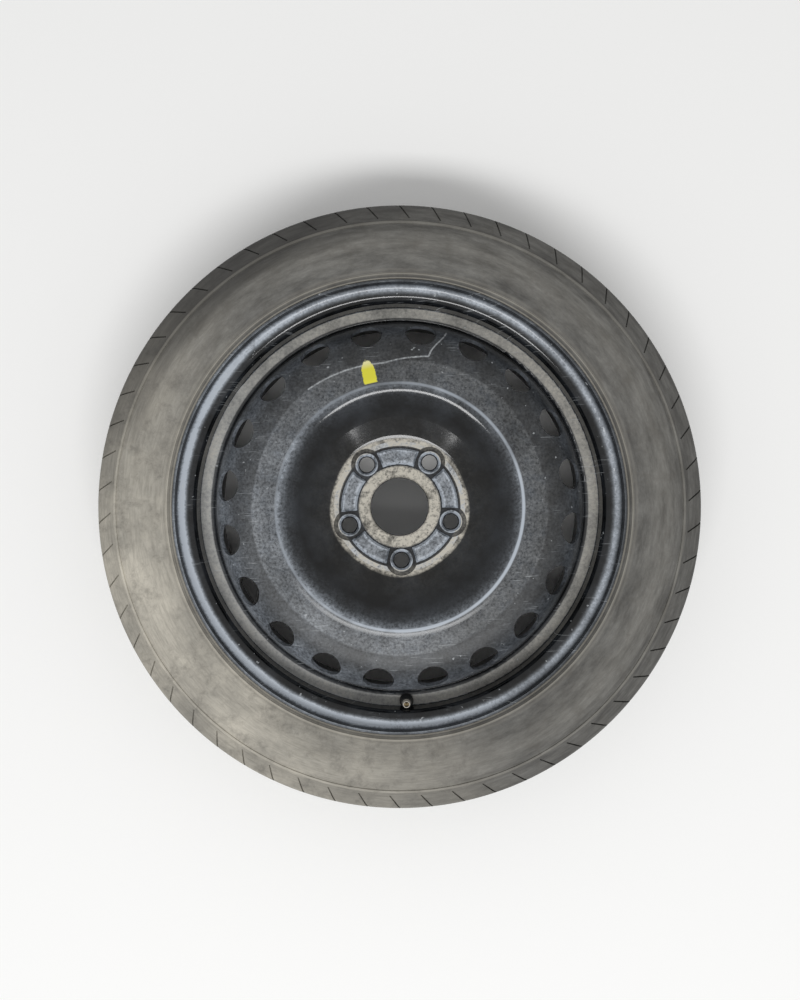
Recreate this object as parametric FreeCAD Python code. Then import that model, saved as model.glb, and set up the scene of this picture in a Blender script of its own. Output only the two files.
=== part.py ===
import FreeCAD, Part
import math
import os

os.makedirs("parts", exist_ok=True)

# Millimetres. Z is the wheel axle, the road side faces up, and the rear face of the hub lies on Z = 0.
# Radii are measured from the axle. "u" is the height above the centre plane of the rim.

# Wheel
hub_offset = 41.0
valve_angle = -90.0

# Rim, rolled from one sheet
seat_radius = 202.8
rim_width = 101.6
rim_gauge = 2.4
flange_height = 17.4
lip_reach = 12.2
lip_bend = 8.5
heel_bend = 7.7
seat_end_u = 34.0
seat_drop = 1.5
ledge_top_u = 27.0
ledge_wall_radius = 201.5
ledge_outer_bend = 2.4
ledge_inner_bend = 2.2
well_radius = 186.3
well_rear_u = -10.0
rear_hump_u = -30.0
rear_hump_radius = 201.3

# Disc, pressed from one sheet; the profile is that of the front skin
disc_gauge = 3.6
disc_fit = 0.1
bore_radius = 28.3
bore_chamfer = 0.5
hub_edge_radius = 67.5
hub_bend = 16.0
bowl_radius = 92.0
bowl_height = 14.5
bowl_bend = 60.0
crown_radius = 116.7
crown_height = 29.7
crown_bend = 20.0
valley_radius = 143.5
valley_height = 20.0
valley_bend = 5.0
shoulder_height = 16.5
shoulder_bend = 43.0
flange_end = -45.0

# Vents round the shoulder
vent_count = 20
vent_diameter = 30.6
vent_tilt = 43.0

# Hub pad
bolt_count = 5
bolt_circle = 105.0
bolt_hole_diameter = 14.8
seat_mouth_radius = 10.1
collar_base_radius = 11.6
collar_top_radius = 10.9
collar_top = 6.2
channel_depth = 1.0
channel_inner_radius = 40.5
channel_outer_radius = 60.0
channel_lobe_radius = 15.5
arc_inner_radius = 41.2
arc_outer_radius = 58.2
arc_half_angle = 21.8
arc_top = 6.4
arc_draft = 2.6
arc_wall = 3.2

# Welds between the disc flange and the well
weld_count = 8
weld_span = 26.0
weld_leg = 3.4
weld_gap = 0.05

# Tyre
tyre_radius = 297.7
tyre_half_width = 67.5
bead_gap = 0.2
tread_thickness = 12.2
sidewall_thickness = 7.0
tread_edge_u = 38.0
shoulder_u = 53.0
shoulder_drop = 3.0
mould_rib_drop = 20.4
mould_rib_inset = 6.5
mould_rib_width = 3.1
bead_line_rise = 4.0
bead_line_inset = 3.6
bead_line_width = 2.2
bead_toe_u = 36.0
groove_width = 7.0
groove_depth = 4.0
groove_pitch = 26.0
slot_count = 58
slot_width = 1.5
slot_depth = 1.4
slot_slant = 32.0

# Valve
valve_radius = 193.8
valve_hole_diameter = 11.3
valve_hole_gap = 0.15
stem_top = 9.0
stem_thread_radius = 3.85
stem_shank_radius = 3.25
stem_foot_radius = 4.2
stem_foot_bottom = -13.0
stem_foot_top = -11.0
bond_gap = 0.05
core_bore_radius = 2.65
core_chamber_radius = 2.3
air_radius = 1.5
core_gap = 0.1
barrel_radius = 1.75
barrel_bore = 1.3
barrel_bottom = -4.8
barrel_floor = 0.6
plug_bottom = 4.2
plug_top = 7.9
bridge_width = 2.2
bridge_height = 2.3
pin_radius = 0.6
pin_guide_gap = 0.2
pin_top = 8.6
pin_bottom = -7.2
collar_radius = 1.15
pin_collar_low = 2.6
pin_collar_high = 3.2
gasket_height = 0.8
cup_radius = 1.9
cup_bottom = -7.0
spring_radius = 0.95
spring_wire = 0.15
spring_turns = 7

# Derived levels
centre_z = -hub_offset
half_gauge = rim_gauge / 2
wall_u = rim_width / 2 + half_gauge
lip_u = rim_width / 2 + lip_reach
lip_radius = seat_radius + flange_height - half_gauge
heel_radius = seat_radius - half_gauge
seat_end_radius = heel_radius - seat_drop
ledge_mid_u = ledge_top_u - half_gauge
ledge_top = centre_z + ledge_top_u
ledge_under = ledge_top - rim_gauge
disc_radius = well_radius - half_gauge - disc_fit
bolt_circle_radius = bolt_circle / 2
bolt_hole_radius = bolt_hole_diameter / 2
channel_floor = disc_gauge - channel_depth
flange_top = seat_radius + flange_height
widest_radius = (tyre_radius + flange_top) / 2
mould_rib_top = tyre_radius - mould_rib_drop
mould_rib_u = tyre_half_width - mould_rib_inset


def at(radius, height):
    return FreeCAD.Vector(radius, 0, height)


def unit(start, end):
    length = math.hypot(end[0] - start[0], end[1] - start[1])
    return (end[0] - start[0]) / length, (end[1] - start[1]) / length


def corner(before, point, after):
    # Ends and middle of the arc that rounds one corner, with the bend radius as the point's third value.
    bend = point[2]
    into = unit(before, point)
    out = unit(point, after)
    turn = math.atan2(into[0] * out[1] - into[1] * out[0], into[0] * out[0] + into[1] * out[1])
    reach = bend * math.tan(abs(turn) / 2)
    first = (point[0] - into[0] * reach, point[1] - into[1] * reach)
    last = (point[0] + out[0] * reach, point[1] + out[1] * reach)
    inward = unit((0, 0), (out[0] - into[0], out[1] - into[1]))
    depth = bend / math.cos(turn / 2) - bend
    middle = (point[0] + inward[0] * depth, point[1] + inward[1] * depth)
    return first, middle, last


def path_edges(points, closed):
    # Straight runs joined by arcs. A point with no bend radius stays sharp.
    count = len(points)
    runs = []
    for index in range(count):
        point = points[index]
        at_end = not closed and index in (0, count - 1)
        if at_end or len(point) < 3 or point[2] == 0:
            runs.append((point, None, point))
        else:
            runs.append(corner(points[index - 1], point, points[(index + 1) % count]))
    edges = []
    for index in range(count):
        first, middle, last = runs[index]
        if middle is not None:
            arc = Part.Arc(at(*first[:2]), at(*middle), at(*last[:2]))
            edges.append(arc.toShape())
        if closed or index < count - 1:
            following = runs[(index + 1) % count][0]
            if math.hypot(following[0] - last[0], following[1] - last[1]) > 1e-6:
                edges.append(Part.LineSegment(at(*last[:2]), at(*following[:2])).toShape())
    return edges


def offset_path(points, distance):
    # The same path moved sideways, to the left of its own direction where the distance is positive.
    moved = []
    count = len(points)
    for index in range(count):
        point = points[index]
        into = unit(points[index - 1], point) if index > 0 else unit(point, points[1])
        out = unit(point, points[index + 1]) if index < count - 1 else into
        cross = into[0] * out[1] - into[1] * out[0]
        cosine = into[0] * out[0] + into[1] * out[1]
        scale = distance / (1 + cosine)
        radius = point[0] - (into[1] + out[1]) * scale
        height = point[1] + (into[0] + out[0]) * scale
        if len(point) > 2:
            bend = point[2] - distance if cross > 0 else point[2] + distance
            moved.append((radius, height, bend))
        else:
            moved.append((radius, height))
    return moved


def revolve_edges(edges, angle):
    wire = Part.Wire(Part.__sortEdges__(edges))
    face = Part.Face(wire)
    return face.revolve(FreeCAD.Vector(0, 0, 0), FreeCAD.Vector(0, 0, 1), angle)


def turned(points, angle=360):
    return revolve_edges(path_edges(points, True), angle)


def turned_sheet(left_skin, right_skin):
    edges = path_edges(left_skin, False) + path_edges(right_skin, False)
    edges.append(Part.LineSegment(at(*left_skin[0][:2]), at(*right_skin[0][:2])).toShape())
    edges.append(Part.LineSegment(at(*left_skin[-1][:2]), at(*right_skin[-1][:2])).toShape())
    return revolve_edges(edges, 360)


def cylinder(radius, bottom, top, centre=(0, 0)):
    return Part.makeCylinder(radius, top - bottom, FreeCAD.Vector(centre[0], centre[1], bottom))


def spun(shape, angle):
    copy = shape.copy()
    copy.rotate(FreeCAD.Vector(0, 0, 0), FreeCAD.Vector(0, 0, 1), angle)
    return copy


def around(shape, count, start):
    return [spun(shape, start + index * 360.0 / count) for index in range(count)]


def at_valve(shape):
    copy = shape.copy()
    copy.translate(FreeCAD.Vector(valve_radius, 0, 0))
    return spun(copy, valve_angle)


def sector_wire(inner, outer, half_angle, height):
    # Outline of a ring piece centred on +X.
    half = math.radians(half_angle)

    def polar(radius, angle):
        return FreeCAD.Vector(radius * math.cos(angle), radius * math.sin(angle), height)

    edges = [
        Part.Arc(polar(outer, -half), polar(outer, 0), polar(outer, half)).toShape(),
        Part.LineSegment(polar(outer, half), polar(inner, half)).toShape(),
        Part.Arc(polar(inner, half), polar(inner, 0), polar(inner, -half)).toShape(),
        Part.LineSegment(polar(inner, -half), polar(outer, -half)).toShape(),
    ]
    return Part.Wire(edges)


def raised_arc(inset, bottom, top):
    # A ring piece with sloping sides, narrower at the top by the draft.
    middle_radius = (arc_inner_radius + arc_outer_radius) / 2
    swing = math.degrees(inset / middle_radius)
    taper = math.degrees(arc_draft / middle_radius)
    low = sector_wire(arc_inner_radius + inset, arc_outer_radius - inset, arc_half_angle - swing, bottom)
    high = sector_wire(
        arc_inner_radius + inset + arc_draft,
        arc_outer_radius - inset - arc_draft,
        arc_half_angle - swing - taper,
        top,
    )
    return Part.makeLoft([low, high], True, True)


def build_rim():
    line = [
        (lip_radius, lip_u),
        (lip_radius, wall_u, lip_bend),
        (heel_radius, wall_u, heel_bend),
        (seat_end_radius, seat_end_u, 4.0),
        (ledge_wall_radius, ledge_mid_u, ledge_outer_bend),
        (well_radius, ledge_mid_u, ledge_inner_bend),
        (well_radius, well_rear_u, 8.0),
        (rear_hump_radius, rear_hump_u, 5.0),
        (seat_end_radius, -seat_end_u - 1.0, 4.0),
        (heel_radius, -wall_u, heel_bend),
        (lip_radius, -wall_u, lip_bend),
        (lip_radius, -lip_u),
    ]
    sheet = turned_sheet(offset_path(line, half_gauge), offset_path(line, -half_gauge))
    sheet.translate(FreeCAD.Vector(0, 0, centre_z))
    hole = cylinder(valve_hole_diameter / 2, ledge_under - 4, ledge_top + 4)
    return sheet.cut(at_valve(hole))


def build_disc():
    front = [
        (bore_radius, disc_gauge),
        (hub_edge_radius, disc_gauge, hub_bend),
        (bowl_radius, bowl_height, bowl_bend),
        (crown_radius, crown_height, crown_bend),
        (valley_radius, valley_height, valley_bend),
        (disc_radius, shoulder_height, shoulder_bend),
        (disc_radius, flange_end),
    ]
    disc = turned_sheet(front, offset_path(front, -disc_gauge))

    # The hub pad: a shallow lobed channel, then the raised arcs and bolt collars standing in it.
    channel = cylinder(channel_outer_radius, channel_floor, disc_gauge + 4)
    bolt_angles = [valve_angle + index * 360.0 / bolt_count for index in range(bolt_count)]
    lobe = cylinder(channel_lobe_radius, channel_floor, disc_gauge + 4, (bolt_circle_radius, 0))
    channel = channel.fuse([spun(lobe, angle) for angle in bolt_angles])
    channel = channel.cut(cylinder(channel_inner_radius, channel_floor - 1, disc_gauge + 5))
    disc = disc.cut(channel)

    between = valve_angle + 180.0 / bolt_count
    arcs = around(raised_arc(0, channel_floor - 0.5, arc_top), bolt_count, between)
    collar = Part.makeCone(
        collar_base_radius,
        collar_top_radius,
        collar_top - channel_floor + 0.5,
        FreeCAD.Vector(bolt_circle_radius, 0, channel_floor - 0.5),
    )
    disc = disc.fuse(arcs + around(collar, bolt_count, valve_angle))

    pocket_top = arc_top - arc_wall
    pockets = around(raised_arc(arc_wall - arc_draft, -0.5, pocket_top), bolt_count, between)
    hole = cylinder(bolt_hole_radius, -1, collar_top + 1, (bolt_circle_radius, 0))
    seat_depth = (seat_mouth_radius - bolt_hole_radius) / math.tan(math.radians(30))
    seat = Part.makeCone(
        bolt_hole_radius,
        seat_mouth_radius,
        seat_depth,
        FreeCAD.Vector(bolt_circle_radius, 0, collar_top - seat_depth),
    )
    edge = Part.makeCone(
        bore_radius,
        bore_radius + bore_chamfer,
        bore_chamfer,
        FreeCAD.Vector(0, 0, disc_gauge - bore_chamfer),
    )
    cuts = pockets + around(hole.fuse(seat), bolt_count, valve_angle) + [edge]
    disc = disc.cut(cuts)

    # Vents are pierced square to the shoulder, midway between the valve's angle and its neighbours.
    tilt = math.radians(vent_tilt)
    turn = math.atan2(valley_height - shoulder_height, disc_radius - valley_radius)
    reach = shoulder_bend * math.tan((math.pi / 2 - turn) / 2)
    arc_centre = (disc_radius - shoulder_bend, shoulder_height - reach)
    along = FreeCAD.Vector(math.sin(tilt), 0, math.cos(tilt))
    start = at(*arc_centre) + along * (shoulder_bend - 14)
    vent = Part.makeCylinder(vent_diameter / 2, 28, start, along)
    vents = around(vent, vent_count, valve_angle + 180.0 / vent_count)
    return disc.cut(vents)


def build_welds():
    outer = well_radius - half_gauge - weld_gap
    bead = [
        (outer, flange_end),
        (outer, flange_end - weld_leg),
        (outer - weld_leg * 0.75, flange_end - weld_leg * 0.75, 1.6),
        (outer - weld_leg, flange_end),
    ]
    weld = turned(bead, weld_span)
    return Part.makeCompound(around(weld, weld_count, valve_angle + 180.0 / weld_count))


def half_tyre():
    # Right half of the section, from the tread over the shoulder to the bead and back inside.
    floor = tyre_radius - groove_depth
    half = groove_width / 2
    taper = 0.6
    seat_slope = seat_drop / (wall_u - seat_end_u)
    face_u = rim_width / 2 - bead_gap
    rib_low = mould_rib_top - mould_rib_width
    line_low = flange_top + bead_line_rise
    line_top = line_low + bead_line_width
    line_u = tyre_half_width - bead_line_inset
    inside_u = tyre_half_width - sidewall_thickness

    def seat_skin(u):
        return seat_radius - (rim_width / 2 - u) * seat_slope + bead_gap

    return [
        (floor, half - taper),
        (tyre_radius, half),
        (tyre_radius, groove_pitch - half),
        (floor, groove_pitch - half + taper),
        (floor, groove_pitch + half - taper),
        (tyre_radius, groove_pitch + half),
        (tyre_radius - 0.2, tread_edge_u, 40.0),
        (tyre_radius - shoulder_drop, shoulder_u, 9.0),
        (mould_rib_top, mould_rib_u),
        (mould_rib_top - 0.6, mould_rib_u + 1.6, 0.5),
        (rib_low + 0.5, mould_rib_u + 2.3, 0.5),
        (rib_low, mould_rib_u + 1.2),
        (widest_radius, tyre_half_width + 1.4, 45.0),
        (line_top, line_u),
        (line_top - 0.6, line_u + 0.8, 0.3),
        (line_low + 0.4, line_u + 0.6, 0.3),
        (line_low, line_u - 0.4),
        (flange_top + 0.5, line_u - 3.1, 1.6),
        (flange_top + 0.4, face_u, lip_bend + half_gauge + 0.3),
        (seat_skin(face_u), face_u, 7.0),
        (seat_skin(bead_toe_u), bead_toe_u, 2.0),
        (seat_radius + 10.2, bead_toe_u + 2.0, 12.0),
        (flange_top + 7.8, inside_u - 6.3, 16.0),
        (widest_radius - 2.0, inside_u, 38.0),
        (mould_rib_top + 2.7, inside_u - 8.0, 22.0),
        (tyre_radius - tread_thickness, tread_edge_u - 8.0, 40.0),
    ]


def build_tyre():
    right = half_tyre()
    left = [(point[0], -point[1]) + tuple(point[2:]) for point in reversed(right)]
    tyre = turned(right + left)

    # Slanting slots over each shoulder, from the tread down to the mould rib.
    corner_point = (tyre_radius - shoulder_drop, shoulder_u)
    rib_point = (mould_rib_top, mould_rib_u)
    down = unit(corner_point, rib_point)
    outward = (down[1], -down[0])

    def beside(point, along, off):
        return point[0] + down[0] * along + outward[0] * off, point[1] + down[1] * along + outward[1] * off

    outline = [
        (tyre_radius + 3, tread_edge_u + 7),
        (tyre_radius + 3, mould_rib_u + 2),
        beside(rib_point, -2, 3),
        beside(rib_point, -2, -slot_depth),
        beside(corner_point, 0, -2 * slot_depth),
        (tyre_radius - groove_depth, tread_edge_u + 7),
    ]
    face = Part.Face(Part.Wire(path_edges(outline, True)))
    slot = face.extrude(FreeCAD.Vector(0, slot_width, 0))
    slot.translate(FreeCAD.Vector(0, -slot_width / 2, 0))
    middle = ((corner_point[0] + rib_point[0]) / 2, (corner_point[1] + rib_point[1]) / 2)
    slot.rotate(at(*middle), at(*outward), slot_slant)
    mirrored = slot.mirror(FreeCAD.Vector(0, 0, 0), FreeCAD.Vector(0, 0, 1))
    tools = around(slot, slot_count, 0) + around(mirrored, slot_count, 180.0 / slot_count)
    tyre = tyre.cut(tools)
    tyre.translate(FreeCAD.Vector(0, 0, centre_z))
    return tyre


def build_valve():
    pieces = {}
    neck = valve_hole_diameter / 2 - valve_hole_gap
    shank = stem_shank_radius + bond_gap
    foot = stem_foot_radius + bond_gap
    rubber = [
        (air_radius, ledge_under - 9.0),
        (4.4, ledge_under - 9.0, 0.8),
        (7.3, ledge_under - 4.0, 2.5),
        (7.3, ledge_under),
        (neck, ledge_under),
        (neck, ledge_top),
        (6.0, ledge_top),
        (6.9, ledge_top + 2.2, 1.0),
        (6.9, ledge_top + 5.0, 3.0),
        (4.7, 0.2, 2.0),
        (4.7, 0.6),
        (shank, 0.6),
        (shank, stem_foot_top + bond_gap),
        (foot, stem_foot_top + bond_gap),
        (foot, stem_foot_bottom - bond_gap),
        (air_radius, stem_foot_bottom - bond_gap),
    ]
    pieces["valve_body"] = turned(rubber)

    stem = [
        (air_radius, stem_foot_bottom),
        (stem_foot_radius, stem_foot_bottom),
        (stem_foot_radius, stem_foot_top),
        (stem_shank_radius, stem_foot_top),
        (stem_shank_radius, 0.65),
        (stem_thread_radius, 0.65),
        (stem_thread_radius, stem_top - 0.5),
        (stem_thread_radius - 0.5, stem_top),
        (core_bore_radius, stem_top),
        (core_bore_radius, 2.6),
        (core_chamber_radius, 1.8),
        (core_chamber_radius, -9.0),
        (air_radius, -9.6),
    ]
    pieces["valve_stem"] = turned(stem)

    plug_radius = core_bore_radius - core_gap
    guide = pin_radius + pin_guide_gap
    housing = [
        (guide, plug_top),
        (plug_radius, plug_top),
        (plug_radius, plug_bottom),
        (barrel_radius, plug_bottom),
        (barrel_radius, barrel_bottom),
        (guide, barrel_bottom),
        (guide, barrel_bottom + barrel_floor),
        (barrel_bore, barrel_bottom + barrel_floor),
        (barrel_bore, plug_bottom - 0.6),
        (guide, plug_bottom - 0.6),
    ]
    side = Part.makeBox(
        6, 6, bridge_height + 1, FreeCAD.Vector(bridge_width / 2, -3, plug_top - bridge_height)
    )
    pieces["core_housing"] = turned(housing).cut([side, spun(side, 180)])

    seal = [
        (barrel_radius + bond_gap, 3.5),
        (core_bore_radius - core_gap, 3.5),
        (core_bore_radius - core_gap, 2.75),
        (core_chamber_radius - core_gap, 2.05),
        (barrel_radius + bond_gap, 2.05),
    ]
    pieces["core_seal"] = turned(seal)

    pin = [
        (0, pin_bottom),
        (pin_radius, pin_bottom),
        (pin_radius, pin_collar_low),
        (collar_radius, pin_collar_low),
        (collar_radius, pin_collar_high),
        (pin_radius, pin_collar_high),
        (pin_radius, pin_top - 0.2),
        (pin_radius - 0.2, pin_top),
        (0, pin_top),
    ]
    pieces["core_pin"] = turned(pin)

    ring = pin_radius + 0.02
    gasket_bottom = barrel_bottom - gasket_height
    gasket_radius = cup_radius - 0.25
    gasket = [
        (ring, gasket_bottom),
        (gasket_radius, gasket_bottom),
        (gasket_radius, barrel_bottom),
        (ring, barrel_bottom),
    ]
    pieces["core_gasket"] = turned(gasket)
    cup = [
        (ring, cup_bottom),
        (cup_radius, cup_bottom),
        (cup_radius, gasket_bottom + 0.5),
        (gasket_radius + 0.02, gasket_bottom + 0.5),
        (gasket_radius + 0.02, gasket_bottom),
        (ring, gasket_bottom),
    ]
    pieces["core_cup"] = turned(cup)

    low = barrel_bottom + barrel_floor + spring_wire
    high = pin_collar_low - spring_wire
    helix = Part.makeHelix((high - low) / spring_turns, high - low, spring_radius)
    section = Part.makeCircle(spring_wire, at(spring_radius, 0), FreeCAD.Vector(0, 1, 0))
    spring = Part.Wire(helix.Edges).makePipeShell([Part.Wire([section])], True, True)
    spring.translate(FreeCAD.Vector(0, 0, low))
    pieces["core_spring"] = spring
    return {name: at_valve(piece) for name, piece in pieces.items()}


def pressed_against(soft, hard):
    # Rubber takes the shape of the metal that it is drawn into.
    return soft.cut(hard)


parts = {
    "tyre": build_tyre(),
    "rim": build_rim(),
    "disc": build_disc(),
    "disc_welds": build_welds(),
}
parts.update(build_valve())
parts["valve_body"] = pressed_against(parts["valve_body"], parts["rim"])

for name, shape in parts.items():
    shape.exportStep("parts/" + name + ".step")
    box = shape.BoundBox
    print(name, len(shape.Solids), shape.isValid(), round(shape.Volume), round(box.ZMin, 2), round(box.ZMax, 2))
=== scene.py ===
import bmesh
import bpy
import math
from mathutils import Matrix, Vector


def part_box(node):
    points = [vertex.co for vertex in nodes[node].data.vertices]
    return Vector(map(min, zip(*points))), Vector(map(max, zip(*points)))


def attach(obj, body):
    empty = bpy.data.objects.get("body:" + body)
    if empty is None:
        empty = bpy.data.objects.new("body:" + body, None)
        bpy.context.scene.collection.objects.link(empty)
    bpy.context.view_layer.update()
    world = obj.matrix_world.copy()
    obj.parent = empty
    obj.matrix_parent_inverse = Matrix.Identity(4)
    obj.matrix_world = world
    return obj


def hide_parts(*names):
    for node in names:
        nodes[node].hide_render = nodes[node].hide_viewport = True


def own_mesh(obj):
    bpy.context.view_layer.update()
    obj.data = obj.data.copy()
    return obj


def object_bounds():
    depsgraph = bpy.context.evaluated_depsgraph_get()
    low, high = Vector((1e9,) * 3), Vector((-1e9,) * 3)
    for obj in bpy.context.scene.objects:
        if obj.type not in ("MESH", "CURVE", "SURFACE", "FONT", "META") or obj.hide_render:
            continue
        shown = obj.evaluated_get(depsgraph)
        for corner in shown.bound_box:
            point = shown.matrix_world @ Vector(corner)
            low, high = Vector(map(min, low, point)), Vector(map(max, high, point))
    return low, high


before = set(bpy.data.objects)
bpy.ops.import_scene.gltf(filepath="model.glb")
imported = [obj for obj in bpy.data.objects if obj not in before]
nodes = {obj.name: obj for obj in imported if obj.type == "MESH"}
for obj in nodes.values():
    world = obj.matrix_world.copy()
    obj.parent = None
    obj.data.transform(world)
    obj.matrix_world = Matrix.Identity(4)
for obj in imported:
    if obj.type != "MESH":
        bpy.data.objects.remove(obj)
cadLow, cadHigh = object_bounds()
scene = bpy.context.scene
print("frame loaded:", len(nodes), "nodes")


def hexColour(code):
    # sRGB hex to the linear values that the shaders work in
    channels = [int(code[i:i + 2], 16) / 255 for i in (1, 3, 5)]
    return tuple(c / 12.92 if c <= 0.04045 else ((c + 0.055) / 1.055) ** 2.4 for c in channels) + (1.0,)


def addNode(tree, kind, inputs=None, stops=None, **settings):
    # one node, with its settings, its ramp stops and whatever is linked into it
    node = tree.nodes.new(kind)
    for key, value in settings.items():
        setattr(node, key, value)
    for socket, value in (inputs or {}).items():
        if isinstance(value, bpy.types.NodeSocket):
            tree.links.new(value, node.inputs[socket])
        else:
            node.inputs[socket].default_value = value
    for index, (place, colour) in enumerate(stops or []):
        elements = node.color_ramp.elements
        element = elements[index] if index < len(elements) else elements.new(place)
        element.position = place
        element.color = colour
    return node


def newMaterial(name):
    material = bpy.data.materials.new(name)
    material.use_nodes = True
    tree = material.node_tree
    return material, tree, tree.nodes["Principled BSDF"]


def heading(degrees):
    # unit vector in the wheel's plane, turned from +X
    angle = math.radians(degrees)
    return math.cos(angle), math.sin(angle), 0


def finishPiece(name, mesh, material):
    # the bmesh becomes an object at the origin
    data = bpy.data.meshes.new(name)
    mesh.to_mesh(data)
    mesh.free()
    data.materials.append(material)
    piece = bpy.data.objects.new(name, data)
    scene.collection.objects.link(piece)
    return piece


def closeSkin(mesh):
    # joins the first and last rows of a spun skin and turns its faces outward
    bmesh.ops.remove_doubles(mesh, verts=mesh.verts[:], dist=1e-6)
    bmesh.ops.recalc_face_normals(mesh, faces=mesh.faces[:])


def dress(nodeName, material):
    mesh = nodes[nodeName].data
    mesh.materials.clear()
    mesh.materials.append(material)


# Stoved black enamel on pressed steel. Where it is clean it is a deep glossy black; weather has left
# a bluish chalky haze on the crown and the lip, strengthened there by painted sky reflection and painted highlight
# bands, road dust lies on the level rings, and knocks show as pale lines.
enamel = {
    "film": "#070809",
    "filmDull": "#202327",
    "haze": "#b0b8c2",
    "dust": "#bdb8ac",
    "scuff": "#b9bdc0",
    "filmRough": 0.1,
    "chalkRough": 0.72,
    "peelMm": 2.2,
    "speckMm": 2.6,
    "discSpecks": (0.25, 1.8),    # thinnest and thickest dust in the specks
    "rimSpecks": (0.6, 1.4),
    "patchMm": 38.0,
    "scratchMm": (0.8, 30.0),    # across and along
    "scratchAngles": (20.0, 118.0),
    "chipMm": 5.0,
    "knockFrom": (0.124, 0.130),    # radius where knocks begin, outside the bowl
    "knockStrength": 0.55,
    "peelStrength": 0.04,
    "peelDepth": 0.0004,
    "ior": 1.5,
    "levelFacing": (0.72, 0.97),    # upward share of the normal over which dust comes in
    "hazeFacing": (0.35, 0.85),
    "patchGain": (0.55, 1.35),
    "reflectionReach": (-0.02, 0.16),     # metres towards the side with the painted reflection
    "reflectionGain": (0.8, 2.0),
    "rampReach": 0.3,       # metres of radius that the ring ramp spans
    "reflectionAngle": -155.0,    # side of the wheel with the most painted sky reflection, degrees from +X
}
# radius in metres, dust, haze with painted sky reflection, dulling; the band near 0.118 m is a painted highlight on the
# crown
discRings = [
    (0.0270, 0.95, 0.0, 0.0), (0.0288, 0.95, 0.0, 0.0), (0.0292, 0.40, 0.0, 0.0), (0.0296, 0.40, 0.0, 0.0),
    (0.0300, 0.95, 0.0, 0.0), (0.0392, 0.92, 0.0, 0.0), (0.0406, 0.06, 0.03, 0.1), (0.0592, 0.06, 0.03, 0.1),
    (0.0600, 0.90, 0.0, 0.0), (0.0672, 0.82, 0.0, 0.0), (0.0690, 0.03, 0.0, 0.0), (0.0980, 0.0, 0.0, 0.0),
    (0.1090, 0.0, 0.04, 0.0), (0.1150, 0.01, 0.16, 0.0), (0.1174, 0.02, 0.30, 0.0), (0.1192, 0.02, 0.30, 0.0),
    (0.1206, 0.06, 0.17, 0.1), (0.1395, 0.08, 0.15, 0.4), (0.1422, 0.09, 0.18, 0.5), (0.1442, 0.03, 0.06, 0.58),
    (0.1600, 0.02, 0.05, 0.5), (0.1700, 0.02, 0.13, 0.5), (0.1850, 0.03, 0.20, 0.5),
]
# radius in metres, dust, haze with painted sky reflection, dulling; the narrow band near 0.212 m is a painted highlight
# along the lip
rimRings = [
    (0.1800, 0.02, 0.02, 0.1), (0.1887, 0.05, 0.04, 0.1), (0.1899, 0.50, 0.30, 0.1), (0.1988, 0.50, 0.30, 0.1),
    (0.2004, 0.02, 0.01, 0.0), (0.2062, 0.01, 0.01, 0.0), (0.2080, 0.02, 0.08, 0.0), (0.2098, 0.04, 0.45, 0.0),
    (0.2112, 0.05, 0.95, 0.0), (0.2132, 0.05, 0.95, 0.0), (0.2152, 0.04, 0.60, 0.0), (0.2172, 0.03, 0.32, 0.0),
    (0.2188, 0.02, 0.16, 0.0), (0.2198, 0.02, 0.10, 0.0),
]
# pressed hub pad: heights and radii in metres, and how far the dust and the sheen go
hubPad = {
    "floorZ": 0.0029, "padZ": 0.0034, "channelDust": 0.22,
    "raisedZ": 0.0028, "raisedTopZ": 0.0036, "raisedFrom": 0.0404, "raisedTo": 0.0645, "sheen": 0.60,
    "arcMiddle": 0.0497, "arcEdge": (0.0035, 0.0062), "arcHighlightGain": (0.7, 1.7),
    "wearMm": 13.0, "wornDust": 0.35,
    "lobes": 5, "lobeDepth": 0.0009, "lobeFrom": 0.058, "lobeTo": 0.062,
}
# the bend that holds the vents: where it begins, and the upward share of the normal at which the haze and the painted
# light on its steep face fade
shoulder = {"from": 0.158, "to": 0.166, "facing": (0.05, 0.35)}
# painted highlight along the crown's inner bend: radius, width, strength and the side where it is brightest
crownHighlight = {"radius": 0.1192, "halfWidth": 0.0007, "fade": 0.0023, "haze": 1.0, "brightAngle": -50.0,
             "brightReach": (-0.12, 0.10), "brightGain": (0.42, 1.1)}
# start, bend and end in degrees; lowTurn, in radians, is where the scratch comes closest to the crown
longScratch = {"angles": (126.0, 77.0, 73.0), "lowTurn": 1.65, "radii": (0.1440, 0.1400, 0.1485, 0.1780),
               "halfWidth": 0.0004, "softEdge": 2.6}
paintDab = {"colour": "#e3dc42", "thin": "#ece6a8", "angle": 101.0, "radius": 0.1338, "halfLength": 0.0120,
            "halfWidth": 0.0068, "ragged": 0.5, "edge": (1.14, 1.24), "squareEnd": (-1.02, -0.95),
            "thinFrom": (0.25, 0.75)}


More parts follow.
